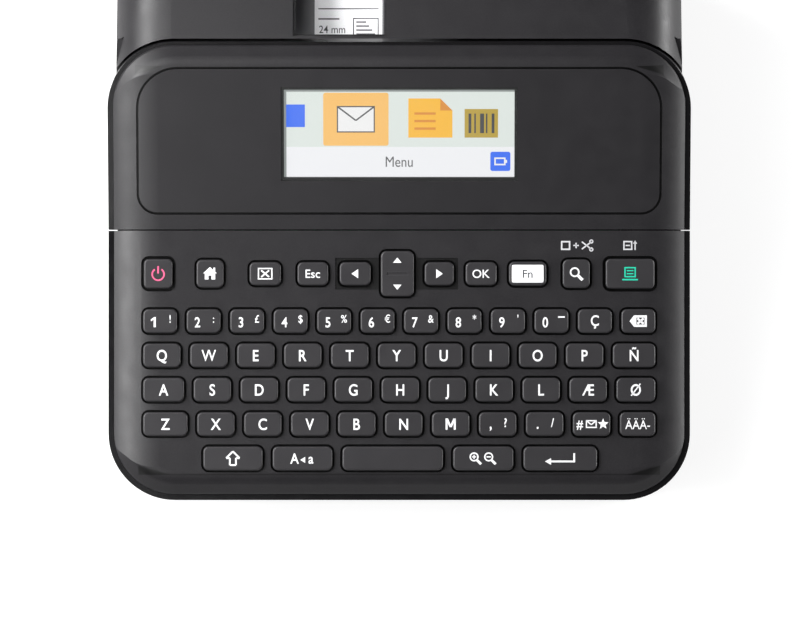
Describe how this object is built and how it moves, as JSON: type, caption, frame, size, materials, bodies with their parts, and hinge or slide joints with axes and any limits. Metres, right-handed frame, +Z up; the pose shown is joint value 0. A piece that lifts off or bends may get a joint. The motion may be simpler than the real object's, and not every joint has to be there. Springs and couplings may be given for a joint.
{
  "type": "label maker",
  "caption": "Desktop label printer with a sloping keyboard, a tilted colour display and a hinged rear tape cover.",
  "frame": {"origin": "on the table, under the middle of the object's box", "axes": "+Z up, +X to the right of someone at the keyboard, +Y to the back"},
  "size_m": [0.192, 0.2006, 0.086],
  "materials": {
    "case_black": "fine-grained black moulding",
    "deck_black": "fine-grained black moulding",
    "cover_black": "fine-grained black moulding",
    "panel_black": "satin black",
    "lens_clear": "clear",
    "window_clear": "clear, lightly tinted",
    "screen_frame": "display module",
    "key_black": "smooth satin black",
    "key_white": "smooth satin, light top",
    "steel": "plain steel",
    "blade_steel": "ground steel",
    "socket_metal": "plated shell",
    "motor_metal": "plated can",
    "foot_rubber": "soft black",
    "mat_rubber": "grey silicone",
    "roller_rubber": "black platen rubber",
    "cell_metal": "battery sleeve",
    "board_green": "circuit board",
    "socket_black": "black moulding",
    "gear_white": "white gear plastic",
    "holder_grey": "dark grey moulding",
    "head_ceramic": "print head plate",
    "sink_aluminium": "plain",
    "cassette_grey": "dark grey moulding",
    "label_paper": "printed sticker",
    "tape_white": "rolled tape",
    "ribbon_black": "rolled ink ribbon"
  },
  "bodies": {
    "body": {"lower_case": "case_black", "keyboard_deck": "deck_black", "display_housing": "deck_black", "display_panel": "panel_black", "display_lens": "lens_clear", "lcd_module": "screen_frame", "cover_hinge_pins": "steel", "rubber_feet": "foot_rubber", "case_screws": "steel", "chassis_screws": "steel", "battery_cells": "cell_metal", "battery_contacts": "steel", "main_board": "board_green", "key_board": "board_green", "keypad_mat": "mat_rubber", "usb_port": "socket_metal", "dc_jack": "socket_black", "mechanism_chassis": "steel", "drive_motor": "motor_metal", "cutter_motor": "motor_metal", "print_head": "head_ceramic", "head_heat_sink": "sink_aluminium", "cassette_tray": "cassette_grey", "cassette_lid": "cassette_grey", "cassette_label": "label_paper", "fixed_blade": "blade_steel"},
    "tape_cover": {"tape_cover": "cover_black", "tape_cover_window": "window_clear"},
    "battery_cover": {"battery_cover": "case_black"},
    "roller_holder": {"roller_holder": "holder_grey"},
    "platen": {"platen_roller": "roller_rubber", "platen_gear": "gear_white"},
    "ribbon_drive": {"ribbon_spindle": "gear_white", "ribbon_spool": "ribbon_black"},
    "motor_pinion": {"motor_pinion": "gear_white"},
    "tape_reel": {"tape_reel": "tape_white"},
    "moving_blade": {"moving_blade": "blade_steel"},
    "cutter_crank": {"cutter_crank": "gear_white"},
    "power_key": {"power_key": "key_black"},
    "home_key": {"home_key": "key_black"},
    "preview_key": {"preview_key": "key_black"},
    "escape_key": {"escape_key": "key_black"},
    "left_key": {"left_key": "key_black"},
    "right_key": {"right_key": "key_black"},
    "ok_key": {"ok_key": "key_black"},
    "function_key": {"function_key": "key_white"},
    "search_key": {"search_key": "key_black"},
    "print_key": {"print_key": "key_black"},
    "number_row_keys": {"number_row_keys": "key_black"},
    "q_row_keys": {"q_row_keys": "key_black"},
    "a_row_keys": {"a_row_keys": "key_black"},
    "z_row_keys": {"z_row_keys": "key_black"},
    "shift_key": {"shift_key": "key_black"},
    "character_key": {"character_key": "key_black"},
    "space_key": {"space_key": "key_black"},
    "zoom_key": {"zoom_key": "key_black"},
    "enter_key": {"enter_key": "key_black"},
    "up_down_key": {"up_down_key": "key_black"}
  },
  "joints": [
    {"name": "tape_cover_hinge", "type": "hinge", "parent": "body", "child": "tape_cover", "pos_m": [0, 0.09777, 0.072], "axis": [-1, 0, 0], "range_deg": [0, 95]},
    {"name": "battery_cover_slide", "type": "slide", "parent": "body", "child": "battery_cover", "axis": [0, -1, 0], "range_m": [0, 0.003]},
    {"name": "roller_holder_swing", "type": "hinge", "parent": "body", "child": "roller_holder", "pos_m": [-0.005, 0.08877, 0.042], "axis": [0, 0, -1], "range_deg": [0, 3.5]},
    {"name": "ribbon_spin", "type": "hinge", "parent": "body", "child": "ribbon_drive", "pos_m": [-0.03, 0.06614, 0.037], "axis": [0, 0, 1], "continuous": true},
    {"name": "pinion_spin", "type": "hinge", "parent": "body", "child": "motor_pinion", "pos_m": [-0.054, 0.06614, 0.037], "axis": [0, 0, 1], "continuous": true},
    {"name": "platen_spin", "type": "hinge", "parent": "roller_holder", "child": "platen", "pos_m": [-0.042, 0.08692, 0.037], "axis": [0, 0, 1], "continuous": true},
    {"name": "reel_spin", "type": "hinge", "parent": "body", "child": "tape_reel", "pos_m": [0.001, 0.06432, 0.0433], "axis": [0, 0, 1], "continuous": true},
    {"name": "blade_swing", "type": "hinge", "parent": "body", "child": "moving_blade", "pos_m": [-0.0781, 0.08277, 0.037], "axis": [-1, 0, 0], "range_deg": [0, 20], "stiffness_Nm_per_rad": 0.005, "springref_deg": -5.73},
    {"name": "crank_turn", "type": "hinge", "parent": "body", "child": "cutter_crank", "pos_m": [-0.079, 0.08637, 0.0135], "axis": [1, 0, 0], "range_deg": [0, 90]},
    {"name": "up_down_rock", "type": "hinge", "parent": "body", "child": "up_down_key", "pos_m": [-0.00062, -0.02918, 0.05578], "axis": [1, 0, 0], "range_deg": [-3, 3], "stiffness_Nm_per_rad": 0.05},
    {"name": "power_key_press", "type": "slide", "parent": "body", "child": "power_key", "axis": [0, 0.2756, -0.9613], "range_m": [0, 0.001], "stiffness_N_per_m": 600, "springref_m": -0.0005},
    {"name": "home_key_press", "type": "slide", "parent": "body", "child": "home_key", "axis": [0, 0.2756, -0.9613], "range_m": [0, 0.001], "stiffness_N_per_m": 600, "springref_m": -0.0005},
    {"name": "preview_key_press", "type": "slide", "parent": "body", "child": "preview_key", "axis": [0, 0.2756, -0.9613], "range_m": [0, 0.001], "stiffness_N_per_m": 600, "springref_m": -0.0005},
    {"name": "escape_key_press", "type": "slide", "parent": "body", "child": "escape_key", "axis": [0, 0.2756, -0.9613], "range_m": [0, 0.001], "stiffness_N_per_m": 600, "springref_m": -0.0005},
    {"name": "left_key_press", "type": "slide", "parent": "body", "child": "left_key", "axis": [0, 0.2756, -0.9613], "range_m": [0, 0.001], "stiffness_N_per_m": 600, "springref_m": -0.0005},
    {"name": "right_key_press", "type": "slide", "parent": "body", "child": "right_key", "axis": [0, 0.2756, -0.9613], "range_m": [0, 0.001], "stiffness_N_per_m": 600, "springref_m": -0.0005},
    {"name": "ok_key_press", "type": "slide", "parent": "body", "child": "ok_key", "axis": [0, 0.2756, -0.9613], "range_m": [0, 0.001], "stiffness_N_per_m": 600, "springref_m": -0.0005},
    {"name": "function_key_press", "type": "slide", "parent": "body", "child": "function_key", "axis": [0, 0.2756, -0.9613], "range_m": [0, 0.001], "stiffness_N_per_m": 600, "springref_m": -0.0005},
    {"name": "search_key_press", "type": "slide", "parent": "body", "child": "search_key", "axis": [0, 0.2756, -0.9613], "range_m": [0, 0.001], "stiffness_N_per_m": 600, "springref_m": -0.0005},
    {"name": "print_key_press", "type": "slide", "parent": "body", "child": "print_key", "axis": [0, 0.2756, -0.9613], "range_m": [0, 0.001], "stiffness_N_per_m": 600, "springref_m": -0.0005},
    {"name": "number_row_keys_press", "type": "slide", "parent": "body", "child": "number_row_keys", "axis": [0, 0.2756, -0.9613], "range_m": [0, 0.001], "stiffness_N_per_m": 600, "springref_m": -0.0005},
    {"name": "q_row_keys_press", "type": "slide", "parent": "body", "child": "q_row_keys", "axis": [0, 0.2756, -0.9613], "range_m": [0, 0.001], "stiffness_N_per_m": 600, "springref_m": -0.0005},
    {"name": "a_row_keys_press", "type": "slide", "parent": "body", "child": "a_row_keys", "axis": [0, 0.2756, -0.9613], "range_m": [0, 0.001], "stiffness_N_per_m": 600, "springref_m": -0.0005},
    {"name": "z_row_keys_press", "type": "slide", "parent": "body", "child": "z_row_keys", "axis": [0, 0.2756, -0.9613], "range_m": [0, 0.001], "stiffness_N_per_m": 600, "springref_m": -0.0005},
    {"name": "shift_key_press", "type": "slide", "parent": "body", "child": "shift_key", "axis": [0, 0.2756, -0.9613], "range_m": [0, 0.001], "stiffness_N_per_m": 600, "springref_m": -0.0005},
    {"name": "character_key_press", "type": "slide", "parent": "body", "child": "character_key", "axis": [0, 0.2756, -0.9613], "range_m": [0, 0.001], "stiffness_N_per_m": 600, "springref_m": -0.0005},
    {"name": "space_key_press", "type": "slide", "parent": "body", "child": "space_key", "axis": [0, 0.2756, -0.9613], "range_m": [0, 0.001], "stiffness_N_per_m": 600, "springref_m": -0.0005},
    {"name": "zoom_key_press", "type": "slide", "parent": "body", "child": "zoom_key", "axis": [0, 0.2756, -0.9613], "range_m": [0, 0.001], "stiffness_N_per_m": 600, "springref_m": -0.0005},
    {"name": "enter_key_press", "type": "slide", "parent": "body", "child": "enter_key", "axis": [0, 0.2756, -0.9613], "range_m": [0, 0.001], "stiffness_N_per_m": 600, "springref_m": -0.0005}
  ],
  "couplings": [
    {"joint": "roller_holder_swing", "follows": "tape_cover_hinge", "ratio": 0.036842},
    {"joint": "pinion_spin", "follows": "ribbon_spin", "ratio": -4},
    {"joint": "platen_spin", "follows": "ribbon_spin", "ratio": -4},
    {"joint": "reel_spin", "follows": "ribbon_spin", "ratio": 0.75},
    {"joint": "crank_turn", "follows": "blade_swing", "ratio": 4.5}
  ]
}
